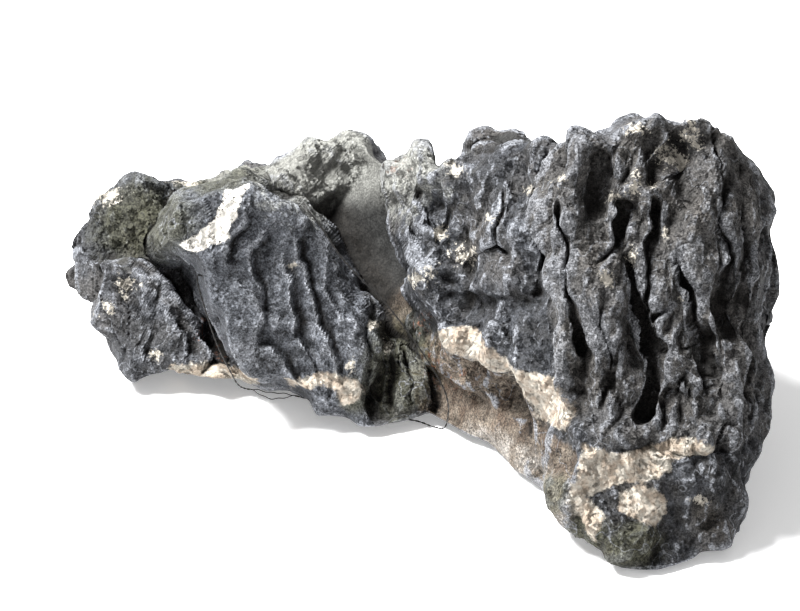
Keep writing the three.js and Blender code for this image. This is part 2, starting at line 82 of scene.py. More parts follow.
# Each block: its outline, the place where its depth is given, that depth, how much deeper it gets for
# each millimetre across and up, the rounding of its edge, the steepness of its flank, and its character:
# how rough, how fluted and how slabby it is.
BLOCKS = dict(
    mossy_wall=(
        [(-193, 162), (-178, 180), (-160, 193), (-133, 202), (-88, 206), (-70, 200), (-53, 188),
         (-42, 162), (-43, 132), (-63, 108), (-133, 108), (-178, 122)],
        (-133, 168), 170, -0.02, 0.22, 10, 2.5, (0.6, 0.1, 0.2)),
    peak=(
        [(-77, 195), (-63, 208), (-55, 216), (-36, 222), (-22, 214), (-15, 208), (-2, 208), (4, 188),
         (-14, 196), (-34, 192), (-46, 180), (-58, 172)],
        (-36, 208), 155, 0.05, 0.1, 7, 0.9, (0.6, 0.1, 0.2)),
    left_block=(
        [(-193, 152), (-173, 158), (-158, 155), (-144, 150), (-128, 138), (-116, 122), (-106, 102),
         (-109, 90), (-147, 86), (-158, 108), (-173, 120), (-188, 135)],
        (-138, 120), 140, 0.05, 0.22, 8, 6, (0.6, 0.3, 0.2)),
    lobe_knobs=(
        [(-38, 138), (-22, 128), (-12, 112), (6, 100), (16, 84), (14, 72), (-3, 66), (-23, 62),
         (-33, 82)],
        (-13, 88), 112, 0.06, 0.1, 6, 4, (0.9, 0.7, 0.1)),
    middle_lobe=(
        [(-128, 168), (-122, 180), (-108, 188), (-86, 190), (-77, 185), (-58, 176), (-47, 164),
         (-32, 134), (-16, 108), (-19, 96), (-27, 82), (-21, 64), (-50, 68), (-60, 76), (-86, 90),
         (-92, 110), (-106, 142), (-115, 156), (-125, 162)],
        (-73, 128), 97, 0.14, -0.02, 6, 8, (0.35, 0, 1)),
    grey_slope=(
        [(-11, 190), (-9, 200), (-2, 208), (1, 216), (5, 214), (10, 204), (25, 206), (72, 212),
         (92, 182), (92, 62), (75, 68), (64, 86), (42, 100), (16, 116), (9, 122), (3, 138), (-6, 174)],
        (27, 162), 66, -0.8, 0.1, 5, 7, (0.4, 0.1, 0.2)),
    calcite_shelf=(
        [(10, 118), (27, 121), (50, 104), (67, 98), (76, 84), (77, 70), (66, 70), (55, 81), (37, 100),
         (13, 112)],
        (40, 103), 63, -0.9, 0.1, 6, 1.6, (0.4, 0, 0)),
    flat_top=(
        [(23, 196), (27, 208), (30, 220), (51, 222), (75, 215), (78, 195), (62, 180), (32, 185)],
        (50, 202), 80, -0.35, 0.2, 4, 5, (0.6, 0.2, 0.3)),
    fluted_mass=(
        [(64, 190), (70, 204), (78, 214), (95, 218), (112, 227), (137, 230), (156, 226), (174, 204),
         (186, 168), (189, 118), (184, 72), (162, 60), (92, 60), (80, 66), (72, 92), (67, 132)],
        (112, 142), 10, 0.06, 0.1, 9, 4, (0.3, 1, 0)),
    foot=(
        [(76, 82), (130, 84), (184, 84), (182, 48), (166, 26), (148, 6), (122, -6), (105, -5), (85, 8),
         (75, 18), (70, 34), (72, 60)],
        (112, 32), 3, 0.12, 0.1, 9, 3, (0.35, 0.2, 0)),
)

# Flutes that water wore: path, half width, depth.
FLUTES = [
    ([(66, 204), (62.5, 197), (60, 169), (61, 155.5), (64, 140), (64, 122)], 1.7, 8),
    ([(70, 182), (70.3, 176.5), (74.5, 159.5), (70.3, 147), (72, 135), (76, 121), (81, 107),
      (78, 92)], 1.6, 7),
    ([(90, 206), (92, 198.5), (91, 186), (89, 174)], 2.2, 7),
    ([(98, 184), (99.5, 176.5), (99, 159.5), (93, 152), (86, 148)], 1.6, 7),
    ([(116, 184), (115.5, 176.5), (116.5, 164), (115.5, 153), (114, 140), (112, 129), (110, 122)], 1.6, 9),
    ([(103, 156), (104.5, 147.5), (105.5, 135.5), (110, 122), (116.5, 108.5), (115.5, 92.5), (112, 78),
      (104, 68)], 2.3, 12),
    ([(111.8, 121.5), (120.3, 127), (128, 132)], 1.3, 8),
    ([(134, 168), (131, 159.5), (127.5, 152), (130, 147), (136, 138), (136, 123), (140, 112), (143, 96),
      (141, 80)], 2, 11),
    ([(126, 96), (124, 89), (122.5, 79), (117, 66)], 1.8, 9),
    ([(132, 212), (126.5, 207), (118.5, 197), (114, 190)], 1.6, 7),
    ([(153, 202), (150, 172), (153, 152), (150, 128), (153, 108)], 2, 9),
    ([(163, 176), (161, 142), (165, 118), (161, 92), (163, 72)], 2.2, 10),
    ([(86, 132), (88, 118), (94, 104), (92, 88), (88, 74)], 1.4, 6),
    ([(20, 186), (17, 176), (13, 164)], 1.4, 5),
    ([(-1.5, 178), (1.5, 168), (3, 159), (6, 149), (12, 144), (18, 138), (22, 133)], 1.5, 6),
    ([(172, 156), (170, 122), (172, 98)], 2, 8),
    ([(-27, 122), (-23, 98), (-26, 76)], 1.5, 6),
    ([(-15, 116), (-11, 94), (-14, 70)], 1.6, 7),
    ([(-5, 108), (-1, 90), (-3, 72)], 1.5, 6),
    ([(7, 100), (9, 86), (6, 74)], 1.4, 5),
]
# Ledges: path, drop on the left hand of someone who walks it, reach over which the stone recovers.
LEDGES = [
    ([(-86, 190), (-94, 162), (-95, 150)], 5.5, 18),
    ([(-74, 172), (-79, 158), (-77, 140), (-79, 125), (-73, 116)], 5, 16),
    ([(-67, 164), (-60, 132), (-58, 118), (-62, 110)], 4.5, 14),
    ([(-58, 170), (-55, 155), (-47, 122), (-38, 95)], 5.5, 14),
    ([(-82, 118), (-74, 106), (-57, 86)], 4.5, 16),
    ([(-133, 138), (-125, 124), (-117, 96)], 3, 12),
    ([(-152, 148), (-142, 115), (-140, 96)], 2.5, 14),
    ([(1, 194), (6, 180), (12, 148)], 3.5, 12),
    ([(62, 132), (42, 134), (12, 132)], 2.5, 16),
    ([(-95, 150), (-85, 138), (-77, 122), (-60, 118)], 2, 14),
    ([(-47, 158), (-40, 140), (-35, 125), (-28, 112)], 3, 10),
    ([(-58, 115), (-55, 102), (-49, 90), (-45, 84)], 2.4, 12),
    ([(-43, 102), (-35, 92), (-32, 82)], 2.4, 10),
    ([(-163, 136), (-159, 122), (-154, 108)], 2, 12),
    ([(45, 163), (33, 156), (24, 151)], 3, 12),
    ([(42, 196), (48, 182), (50, 166)], 2, 16),
    ([(32, 128), (40, 118), (48, 104)], 2.2, 12),
    ([(-35, 130), (-28, 112), (-21, 96), (-20, 84)], 3, 8),
    ([(-21, 124), (-12, 106), (-5, 88)], 3, 8),
    ([(-9, 106), (2, 93), (9, 80)], 2.5, 7),
    ([(40, 190), (44, 176), (40, 160), (46, 146)], 2.5, 10),
    ([(20, 172), (26, 158), (24, 142)], 2.2, 9),
    ([(58, 172), (60, 150), (54, 132)], 2.2, 10),
]
# Flutes and ledges fade out over this share of their length at each end.
PATH_FADE = 0.18
NEVER_ZERO = 1e-9


def cell_value(x, y, z, seed):
    """A random number from 0 to 1 that belongs to one cell of a space grid."""
    wave = np.sin(x * 127.1 + y * 311.7 + z * 74.7 + seed * 53.3) * 43758.5453
    return wave - np.floor(wave)


def noise(p, seed):
    """Smooth noise from -1 to 1: the values of the eight cells around each point, blended."""
    cell = np.floor(p)
    part = p - cell
    blend = part ** 3 * (part * (part * 6 - 15) + 10)
    total = 0
    for corner in range(8):
        step = np.array([corner & 1, (corner >> 1) & 1, corner >> 2])
        weight = np.prod(np.where(step == 1, blend, 1 - blend), axis=-1)
        total = total + weight * cell_value(*np.moveaxis(cell + step, -1, 0), seed)
    return 2 * total - 1


def turn_matrix(axis, angle):
    """Turn about a unit axis, by Rodrigues' formula."""
    x, y, z = axis
    cross = np.array([(0, -z, y), (z, 0, -x), (-y, x, 0)])
    return np.eye(3) + math.sin(angle) * cross + (1 - math.cos(angle)) * cross @ cross


LAYER_TURN = turn_matrix(axis=(0.36, 0.48, 0.8), angle=0.65)


def lumps(p, size, layers, seed):
    """Layers of noise, each half as large and as strong as the one before and turned against it."""
    turned = p / size
    total = 0
    for layer in range(layers):
        total = total + noise(turned, seed + layer) / 2 ** layer
        turned = 2 * turned @ LAYER_TURN.T
    return total


def scallops(p, size, seed):
    """Hollows that meet in sharp ridges: squared distance to the nearest of many scattered points."""
    spot = p / size
    cell = np.floor(spot)
    nearest = np.full(p.shape[:-1], 9.0)
    for shift in np.ndindex(3, 3, 3):
        near = cell + np.array(shift) - 1
        x, y, z = np.moveaxis(near, -1, 0)
        jitter = np.stack([cell_value(x, y, z, seed + axis) for axis in range(3)], axis=-1)
        nearest = np.minimum(nearest, ((near + jitter - spot) ** 2).sum(axis=-1))
    return nearest


def rounded_min(a, b, width):
    """The smaller of two numbers, with the corner between them rounded over a width."""
    share = np.clip(0.5 + 0.5 * (b - a) / width, 0, 1)
    return b + (a - b) * share - width * share * (1 - share)


def near_stretch(across, up, start, end):
    """Distance to a straight stretch, and how far along it the nearest point is, from 0 to 1."""
    run_x, run_y = end[0] - start[0], end[1] - start[1]
    along = ((across - start[0]) * run_x + (up - start[1]) * run_y) / (run_x ** 2 + run_y ** 2)
    part = np.clip(along, 0, 1)
    return np.hypot(across - start[0] - part * run_x, up - start[1] - part * run_y), part


def inset_from(outline, across, up):
    """Distance in from a closed outline, negative outside it: nearest edge, signed by crossings."""
    distance = np.full(across.shape, np.inf)
    inside = np.zeros(across.shape, bool)
    for start, end in zip(outline, outline[1:] + outline[:1]):
        distance = np.minimum(distance, near_stretch(across, up, start, end)[0])
        rise = end[1] - start[1] if end[1] != start[1] else NEVER_ZERO
        crossing = start[0] + (up - start[1]) * (end[0] - start[0]) / rise
        inside ^= ((start[1] > up) != (end[1] > up)) & (across < crossing)
    return np.where(inside, distance, -distance)


def near_path(path, across, up):
    """Distance to an open path, the same signed by its left hand, and a fade to 0 at its ends."""
    best = np.full(across.shape, np.inf)
    side = np.zeros(across.shape)
    along = np.zeros(across.shape)
    for index, (start, end) in enumerate(zip(path, path[1:])):
        distance, part = near_stretch(across, up, start, end)
        turn = (end[0] - start[0]) * (up - start[1]) - (end[1] - start[1]) * (across - start[0])
        closer = distance < best
        best = np.where(closer, distance, best)
        side = np.where(closer, np.sign(turn), side)
        along = np.where(closer, (index + part) / (len(path) - 1), along)
    fade = np.clip(np.minimum(along, 1 - along) / PATH_FADE, 0, 1)
    return best, side * best, fade


GULLY_HEAD = (-40.5, 162.5)
GULLY_DOWN = (0.549, -0.836)
GULLY = dict(depth=160, fall=0.38, climb=0.5, left=-10, right=45)
WEDGE = dict(slope=1.37, across=25, depth=103, nearest=32.0, round=12)
BED_JOIN = 24


def from_gully_head(across, up):
    """How far a place lies down the gully's leaning line from its head, and how far to the right of it."""
    right, rise = across - GULLY_HEAD[0], up - GULLY_HEAD[1]
    down = right * GULLY_DOWN[0] + rise * GULLY_DOWN[1]
    aside = rise * GULLY_DOWN[0] - right * GULLY_DOWN[1]
    return down, aside


def bed_depth(across, up):
    """Depth of the gully's bed, which falls along a leaning line and climbs to the right of it, and
    of the wedge that climbs out of it: the nearer of the two."""
    down, aside = from_gully_head(across, up)
    aside = np.clip(aside, GULLY["left"], GULLY["right"])
    gully = GULLY["depth"] - GULLY["fall"] * down - GULLY["climb"] * aside
    rise = WEDGE["slope"] * (across - WEDGE["across"]) - WEDGE["depth"]
    wedge = -rounded_min(rise, np.full(across.shape, -WEDGE["nearest"]), WEDGE["round"])
    return rounded_min(gully, wedge, BED_JOIN)


def creased(p, size, stretch, seed):
    """Flat faces that meet in straight creases, from -1 to 1: random values at the corners of a grid of
    tetrahedra, with a straight-line blend inside each one."""
    turned = p / (size * np.array(stretch)) @ LAYER_TURN.T
    skewed = turned + turned.sum(axis=-1, keepdims=True) / 3
    corner = np.floor(skewed)
    part = skewed - corner
    order = np.argsort(-part, axis=-1)
    drop = np.take_along_axis(part, order, axis=-1)
    weights = -np.diff(drop, axis=-1, prepend=1, append=0)
    total = 0
    for step in range(4):
        total = total + weights[..., step] * cell_value(*np.moveaxis(corner, -1, 0), seed)
        if step < 3:
            corner = corner + (np.arange(3) == order[..., step, None])
    return 2 * total - 1


def broken_faces(p, height, size, stretch, seed):
    """Flat broken faces of a size that rise and fall by a height."""
    return height * creased(p, size, stretch, seed)


WANDER_REACH = 3.2
WANDER_SIZE = 22
WANDER_LAYERS = 3
WANDER_SEEDS = (11, 23)
LARGE_CHIPS = dict(height=3, size=11, stretch=(1, 1.4, 1))
SMALL_CHIPS = dict(height=1.5, size=5, stretch=(1, 1.4, 1))
CHIP_SEEDS = (14, 17)
BLOCK_JOIN = 4
CHARACTER_JOIN = 8
LEDGE_EDGE = 0.9
LEDGE_GAIN = 1.55
FLUTE_CHIPPING = 0.45
# A flute's walls, for someone who walks it: width as a share of its half width, and steepness.
LEFT_WALL = (1.5, 1.6)
RIGHT_WALL = (0.8, 4)


def chipped(spot, seed):
    """How far a broken edge strays from its line, in millimetres: broken faces of two sizes."""
    return broken_faces(spot, seed=seed, **LARGE_CHIPS) + broken_faces(spot, seed=seed + 1, **SMALL_CHIPS)


def flute_wall(distance, half, wall):
    """Power of a distance, as a share of a wall's width."""
    width, steepness = wall
    return (distance / (width * half)) ** steepness


def read_face(across_at, up_at):
    """Depth of the broad face and its character: the bed and all the blocks, joined by rounded
    minimums, with ledges and flutes pressed in. The outlines wander with noise."""
    spot = np.stack([across_at, up_at, np.zeros_like(up_at)], axis=-1)
    chip_across, chip_up = (chipped(spot, seed) for seed in CHIP_SEEDS)
    wander = [lumps(spot, WANDER_SIZE, WANDER_LAYERS, seed) for seed in WANDER_SEEDS]
    across = across_at + WANDER_REACH * wander[0]
    up = up_at + WANDER_REACH * wander[1]
    depth = bed_depth(across, up)
    character = np.zeros(across.shape + (4,)) + BED_CHARACTER
    for outline, place, block_depth, by_across, by_up, edge, flank, own in BLOCKS.values():
        inset = inset_from(outline, across, up)
        plane = block_depth + by_across * (across - place[0]) + by_up * (up - place[1])
        near_edge = np.clip(edge - inset, 0, edge)
        rounding = edge - np.sqrt(edge ** 2 - near_edge ** 2)
        surface = plane + np.where(inset > 0, rounding, edge - flank * inset)
        keep = np.clip(0.5 + (surface - depth) / CHARACTER_JOIN, 0, 1)[..., None]
        character = np.array([*own, 0]) * (1 - keep) + character * keep
        depth = rounded_min(depth, surface, BLOCK_JOIN)
    for path, drop, reach in LEDGES:
        _, signed, fade = near_path(path, across + chip_across, up + chip_up)
        rise = np.clip(signed / LEDGE_EDGE, 0, 1)
        recovery = np.clip(1 - signed / reach, 0, 1)
        depth = depth + LEDGE_GAIN * drop * fade * np.minimum(rise, recovery)
    worn = np.zeros_like(depth)
    for path, half, flute_depth in FLUTES:
        distance, signed, fade = near_path(path, across + FLUTE_CHIPPING * chip_across, up)
        left, right = flute_wall(distance, half, LEFT_WALL), flute_wall(distance, half, RIGHT_WALL)
        worn = np.maximum(worn, flute_depth * fade * np.exp(-np.where(signed > 0, left, right)))
    return depth + worn, character


def depth_at_height(up, height):
    """Depth at which a place on the face would meet a level above the ground."""
    return (up * COS_LEAN - height) / SIN_LEAN


def rounded_rise(distance, radius):
    """Quarter-circle rise from 0 at an edge to 1 at a radius in from it."""
    short = 1 - np.clip(distance / radius, 0, 1)
    return np.sqrt(1 - short ** 2)


def stand_up(across, up, depth):
    """A place on the leaning face, set in the upright frame, in millimetres."""
    back = up * SIN_LEAN + depth * COS_LEAN - MIDDLE_FROM_FACE
    return np.stack([across - MIDDLE_ACROSS, back, up * COS_LEAN - depth * SIN_LEAN], axis=-1)


def outlines(across, parts, on_face):
    """Outlines of the stone at many stations: for each part of the way from hem to ridge, the face or
    the back, rounded into the middle of the stone at hem, ridge and ends. Each point carries its
    place, its character, its across and up on the face, and whether it is on the face."""
    across, part = np.meshgrid(across, parts, indexing="ij")
    top = np.interp(across, *SKYLINE.T)
    bottom = np.interp(across, *HEM.T)
    ground = np.interp(across, *UNDERSIDE.T)
    from_left = rounded_rise(across - LEFT_END["at"], LEFT_END["round"])
    from_right = rounded_rise(RIGHT_END["at"] - across, RIGHT_END["round"])
    fullness = from_left * from_right
    end_depth = np.where(from_left < from_right, LEFT_END["depth"], RIGHT_END["depth"])
    ridge_depth = read_face(across[:, 0], top[:, 0] - RIDGE_INSET)[0][:, None] + RIDGE_SETBACK
    hem_depth = depth_at_height(bottom, ground + HEM_RISE)

    up = bottom + (top - bottom) * part
    floor = depth_at_height(up, ground)
    middle = end_depth + (hem_depth + (ridge_depth - hem_depth) * part - end_depth) * fullness
    middle = np.minimum(middle, floor)
    edge = rounded_rise(up - bottom, HEM_ROUND) * rounded_rise(top - up, RIDGE_ROUND) * fullness
    depth, character = read_face(across, up)
    depth = np.minimum(depth, floor - THINNEST)
    character = EDGE_CHARACTER + (character - EDGE_CHARACTER) * edge[..., None]
    if not on_face:
        fall = ridge_depth + RIDGE_SETBACK + BACK_FALL * (top - up)
        back = rounded_min(np.interp(across, *BACK.T), fall, BACK_JOIN)
        depth = np.minimum(np.maximum(back, depth + THINNEST), floor)
        character = np.zeros(depth.shape + (4,)) + BACK_CHARACTER
    place = stand_up(across, up, middle + (depth - middle) * edge)
    facing = np.full_like(depth, float(on_face))
    return np.concatenate([place, character, np.stack([across, up, facing], axis=-1)], axis=-1)


def averaged(lines, neighbours, closed):
    """Each line averaged with its neighbours on both sides, twice over, so that near ones count most."""
    for _ in range(2):
        before, after = (lines[-neighbours:], lines[:neighbours]) if closed else (lines[:1], lines[-1:])
        reach = 1 if closed else neighbours
        padded = np.concatenate([np.repeat(before, reach, axis=0), lines, np.repeat(after, reach, axis=0)])
        total = np.cumsum(np.concatenate([np.zeros_like(padded[:1]), padded]), axis=0)
        span = 2 * neighbours + 1
        lines = (total[span:] - total[:-span]) / span
    return lines


EVEN_SHARE = 0.6
LEAST_STEP = 1e-6


def spread_evenly(lines, count, neighbours, closed):
    """Points spread evenly along each of several neighbouring lines: equal shares of each line's
    length, with their places averaged from line to line so that neighbours stay side by side."""
    steps = np.linalg.norm(np.diff(lines[..., :3], axis=1), axis=-1) + LEAST_STEP
    lengths = np.concatenate([np.zeros((len(lines), 1)), np.cumsum(steps, axis=1)], axis=1)
    index = np.arange(lines.shape[1])
    share = np.linspace(0, 1, count + 1)
    places = np.stack([np.interp(share * length[-1], length, index) for length in lengths])
    places = EVEN_SHARE * places + (1 - EVEN_SHARE) * share * index[-1]
    places = averaged(places, neighbours, closed)
    low = np.minimum(places.astype(int), lines.shape[1] - 2)
    part = (places - low)[..., None]
    rows = np.arange(len(lines))[:, None]
    return lines[rows, low] * (1 - part) + lines[rows, low + 1] * part


STATIONS = 360
FACE_ROWS = 204
BACK_ROWS = 72
FINE_STATIONS = 520
FINE_FACE_ROWS = 340
FINE_BACK_ROWS = 130
STATION_NEIGHBOURS = 22
ROW_NEIGHBOURS = 16


def end_line(end, rows):
    """The stone's end: one point, repeated for every row, with the channels of a back point."""
    place = stand_up(end["at"], end["up"], end["depth"])
    point = np.concatenate([place, EDGE_CHARACTER, [end["at"], end["up"], 0]])
    return np.repeat(point[None, None], rows, axis=0)


def stone_points():
    """The stone's points as rows from the left end to the right end, spread evenly both ways."""
    across = np.linspace(LEFT_END["at"], RIGHT_END["at"], FINE_STATIONS + 2)[1:-1]
    faces = outlines(across, np.linspace(0, 1, FINE_FACE_ROWS), True)
    backs = outlines(across, np.linspace(1, 0, FINE_BACK_ROWS), False)
    faces = spread_evenly(faces, FACE_ROWS, STATION_NEIGHBOURS, False)[:, :-1]
    backs = spread_evenly(backs, BACK_ROWS, STATION_NEIGHBOURS, False)[:, :-1]
    rows = np.concatenate([faces, backs], axis=1).transpose(1, 0, 2)
    rows = np.concatenate([end_line(LEFT_END, len(rows)), rows, end_line(RIGHT_END, len(rows))], axis=1)
    return spread_evenly(rows, STATIONS + 1, ROW_NEIGHBOURS, True)


def grid_normals(place):
    """Unit normals of a grid that is closed along its first axis: cross product of its two tangents."""
    around = np.roll(place, -1, axis=0) - np.roll(place, 1, axis=0)
    along = np.gradient(place, axis=1)
    normal = np.cross(along, around)
    return normal / np.maximum(np.linalg.norm(normal, axis=-1, keepdims=True), NEVER_ZERO)


def smooth_grid(values, passes):
    """Half of each grid point and an eighth of each of its four neighbours, several times over."""
    for _ in range(passes):
        side = np.concatenate([values[:, :1], values, values[:, -1:]], axis=1)
        around = np.roll(values, 1, axis=0) + np.roll(values, -1, axis=0)
        values = 0.5 * values + 0.125 * (around + side[:, :-2] + side[:, 2:])
    return values


GROUND_FADE = 8

points = stone_points()
place = smooth_grid(points[..., :3], 1)
rough, fluted, slabby, bed, across, up, facing = np.moveaxis(points[..., 3:], -1, 0)
ground = np.interp(place[..., 0], *UNDERSIDE.T)
above = np.clip((place[..., 2] - ground) / GROUND_FADE, 0, 1)


def lean_back(place):
    """Upright places set in the leaning frame again: across, up the face and into the stone."""
    x, y, z = np.moveaxis(place, -1, 0)
    y = y + MIDDLE_FROM_FACE
    return np.stack([x + MIDDLE_ACROSS, y * SIN_LEAN + z * COS_LEAN, y * COS_LEAN - z * SIN_LEAN], axis=-1)


def push_out(place, amount, passes):
    """Places moved along the surface's normals, which are smoothed over a few grid points first."""
    return place + amount[..., None] * smooth_grid(grid_normals(place), passes)


def bent(spot, size, amount, seed):
    """Places moved about by noise, so that what is read at them wanders."""
    return spot + amount * np.stack([lumps(spot, size, 2, seed + axis) for axis in range(3)], axis=-1)


CLEFT_WIDTH = 0.1
CLEFT_STEEPNESS = 1.5


def crevices(spot, depth, size, stretch, seed):
    """Narrow clefts of a depth, along the lines where a noise, stretched up the face, changes sign."""
    cells = np.array([size, size * stretch, size])
    value = noise(bent(spot, size=size * 1.5, amount=0.3 * size, seed=seed + 1) / cells, seed)
    patchy = np.clip(1 + 1.4 * lumps(spot, size=size * 2, layers=2, seed=seed + 4), 0, 1)
    return depth * (patchy * np.exp(-np.abs(value / CLEFT_WIDTH) ** CLEFT_STEEPNESS))


SLAB_TILT = np.array([0.95, 0.3, -0.3])
SLAB_STRETCH = (1, 1.5, 1)


def slabs(spot, height, spacing, seed):
    """Layers that break off one after another towards the right: each rises by a height and drops."""
    bend = broken_faces(spot, height=0.8, size=spacing * 2, stretch=SLAB_STRETCH, seed=seed)
    bend = bend + broken_faces(spot, height=0.3, size=spacing * 0.7, stretch=SLAB_STRETCH, seed=seed + 1)
    level = spot @ SLAB_TILT / spacing + bend
    part = level - np.floor(level)
    drop = LEDGE_EDGE / spacing
    strength = np.clip(0.7 + lumps(spot, size=spacing * 3, layers=2, seed=seed + 5), 0, 1)
    return height * (strength * (np.minimum(part / (1 - drop), (1 - part) / drop) - 0.5))


ROOM_PASSES = 4


def room_for(place, size):
    """From 1 where the grid is fine enough to carry detail of a size, to 0 where it is too coarse."""
    around = np.linalg.norm(place - np.roll(place, 1, axis=0), axis=-1)
    along = np.linalg.norm(np.gradient(place, axis=1), axis=-1)
    spacing = smooth_grid(np.maximum(around, along), ROOM_PASSES)
    return np.clip(size / (2 * spacing) - 0.5, 0, 1)


# The walls, where the grid is coarse, are evened out.
EVEN_PASSES = 12
EVEN_ROOM = 12
evened = smooth_grid(place, EVEN_PASSES)
place = place + (evened - place) * (1 - room_for(place, EVEN_ROOM))[..., None]

# Large lumps and scallops first, then slabs, clefts and broken faces, each kind where it belongs.
SCALLOP_HEIGHT = 6
SCALLOP_LEVEL = 0.3
SCALLOPS = dict(size=18, seed=31)
LUMP_HEIGHT = 4
LUMPS = dict(size=36, layers=3, seed=5)
LARGE_CLEFTS = dict(depth=4, size=13, stretch=7, seed=61)
SMALL_CLEFTS = dict(depth=1.2, size=8, stretch=9, seed=71)
SLABS = dict(height=1.6, spacing=23, seed=81)
RIDGE_BEND = dict(size=20, amount=4, seed=131)
RIDGES = dict(height=4.5, size=10, stretch=(1, 3.5, 1), seed=135)
FACE_BEND = dict(size=26, amount=5, seed=101)
WIDE_FACES = dict(height=9, size=26, stretch=(1, 1.5, 1), seed=105)
MIDDLE_FACES = dict(height=4.5, size=13, stretch=(1, 1.7, 1), seed=111)
SMALL_FACES = dict(height=1.4, size=5.5, stretch=(1, 1.7, 1), seed=121)
TINY_FACES = dict(height=0.7, size=2.6, stretch=(1, 1.4, 1), seed=125)
WIDE_ROOM = 20
MIDDLE_ROOM = 10
CARVED_ROOM = 8
SMALL_ROOM = 4.5
LARGE_PASSES = 12
SMALL_PASSES = 8
BED_CRISPNESS = 0.03
SLAB_CALM = 0.6

dents = SCALLOP_HEIGHT * (scallops(place, **SCALLOPS) - SCALLOP_LEVEL)
place = push_out(place, rough * above * (dents + LUMP_HEIGHT * lumps(place, **LUMPS)), LARGE_PASSES)
spot = lean_back(place)
crisp = np.clip(1 - bed, BED_CRISPNESS, 1) * above
calm = 1 - SLAB_CALM * slabby
clefts = crevices(spot, **LARGE_CLEFTS) + crevices(spot, **SMALL_CLEFTS)
ridges = broken_faces(bent(spot, **RIDGE_BEND), **RIDGES)
wide = broken_faces(bent(spot, **FACE_BEND), **WIDE_FACES) * room_for(place, WIDE_ROOM)
wide = wide + broken_faces(spot, **MIDDLE_FACES) * room_for(place, MIDDLE_ROOM)
carved = slabby * slabs(spot, **SLABS) + fluted * (ridges - clefts)
carved = above * room_for(place, CARVED_ROOM) * carved
place = push_out(place, carved + crisp * calm * wide, LARGE_PASSES)
spot = lean_back(place)
small = broken_faces(spot, **SMALL_FACES) + broken_faces(spot, **TINY_FACES)
place = push_out(place, crisp * calm * room_for(place, SMALL_ROOM) * small, SMALL_PASSES)
place[..., 2] = np.maximum(place[..., 2], ground)

FINE_PASSES = 12
RIM_PASSES = 3
WIDE_PASSES = 70
FINE_ON_BACK = 0.5
RIM_ON_BACK = 0.4


def proud_of(place, passes):
    """How far each point stands out of the surface around it, in millimetres: its way from the smoothed
    grid, along its normal."""
    return ((place - smooth_grid(place, passes)) * grid_normals(place)).sum(axis=-1)


proud_fine = proud_of(place, FINE_PASSES) * (FINE_ON_BACK + (1 - FINE_ON_BACK) * facing)
proud_rim = proud_of(place, RIM_PASSES) * (RIM_ON_BACK + (1 - RIM_ON_BACK) * facing)
proud_wide = proud_of(place, WIDE_PASSES)


def end_to_end(rows):
    """The points of rows that all run from one end point to another, as one list with each end once."""
    inner = rows[:, 1:-1].swapaxes(0, 1)
    inner = inner.reshape((-1,) + rows.shape[2:])
    return np.concatenate([rows[:1, 0], inner, rows[:1, -1]])


def grid_faces(rows):
    """Faces between rows that run from one end point to another: quads, and a fan at each end."""
    around, stations = rows.shape[0], rows.shape[1] - 2
    row = np.arange(around)
    after = (row + 1) % around
    ring = 1 + np.arange(stations - 1)[:, None] * around
    quads = np.stack([ring + row, ring + around + row, ring + around + after, ring + after], axis=-1)
    last = 1 + (stations - 1) * around
    fans = [np.stack([np.zeros_like(row), 1 + row, 1 + after], axis=-1),
            np.stack([last + row, np.full_like(row, last + around), last + after], axis=-1)]
    return quads.reshape(-1, 4).tolist() + np.concatenate(fans).tolist()


def make_piece(name, corners, faces, smooth, channels):
    """A mesh object from corners in millimetres. channels are numbers kept on its points."""
    mesh = bpy.data.meshes.new(name)
    mesh.from_pydata((corners * MM).tolist(), [], faces)
    for channel, values in channels.items():
        flat = end_to_end(values).astype(np.float32)
        mesh.attributes.new(channel, "FLOAT", "POINT").data.foreach_set("value", flat)
    mesh.polygons.foreach_set("use_smooth", np.full(len(mesh.polygons), smooth))
    mesh.update()
    piece = bpy.data.objects.new(name, mesh)
    bpy.context.scene.collection.objects.link(piece)
    return piece


# Stains and veins, as outlines on the broad face. Each is kept as a distance in from its edge.
CALCITE_VEIN = [
    (-96.5, 187), (-85, 190), (-88, 185.5), (-90.5, 174.5), (-93.5, 171), (-94.5, 163.5), (-103, 159.5),
    (-114.5, 155), (-120, 160.5), (-110, 166.5), (-102, 172.5), (-97.5, 182.5)]
LIME_BANDS = [
    [(12, 118.5), (27, 119), (37, 110), (49.5, 97.5), (67, 95), (73, 82.5), (75.5, 76.5), (72, 70),
     (64.5, 71.5), (54.5, 82.5), (47, 92.5), (37, 102.5), (22, 110), (13, 113.5)],
    [(-66, 89.6), (-51.5, 95), (-42, 95), (-30.5, 91.7), (-26, 86.5), (-31.5, 80), (-36.7, 79), (-39, 86.5),
     (-47, 89.6), (-64, 86.5)],
    [(-126, 92), (-126, 99), (-104, 100), (-84, 96), (-82, 88)],
    [(81, 62.5), (91, 59.5), (96.5, 57.5), (108.5, 59.5), (123.5, 64.5), (140, 64.5), (144, 61.5),
     (134.5, 56.5), (123.5, 53.5), (123.5, 48.5), (110.5, 43.5), (95.5, 43.5), (85, 37.5), (78, 37.5),
     (79, 50.5)],
    [(98.5, 37.5), (108.5, 42.5), (119.5, 37.5), (121.5, 28), (115.5, 22), (106.5, 26), (98.5, 30)],
    [(76, 43.5), (80, 37.5), (87, 33.5), (90, 26), (87, 17), (81, 25), (76, 33.5)],
]
WEDGE_SIDE = [
    (6, 117), (13, 113.5), (22, 109), (37, 101), (47, 91), (54.5, 81), (64.5, 70), (77, 58), (79, 34),
    (70, 20), (54, 38), (34, 57), (14, 66), (2, 74), (-2, 95)]
PALE_HEM = [
    (26, 71), (42, 68), (57, 58), (72, 48), (79.5, 32.5), (76, 15), (64, 28), (44.5, 48), (22, 62)]
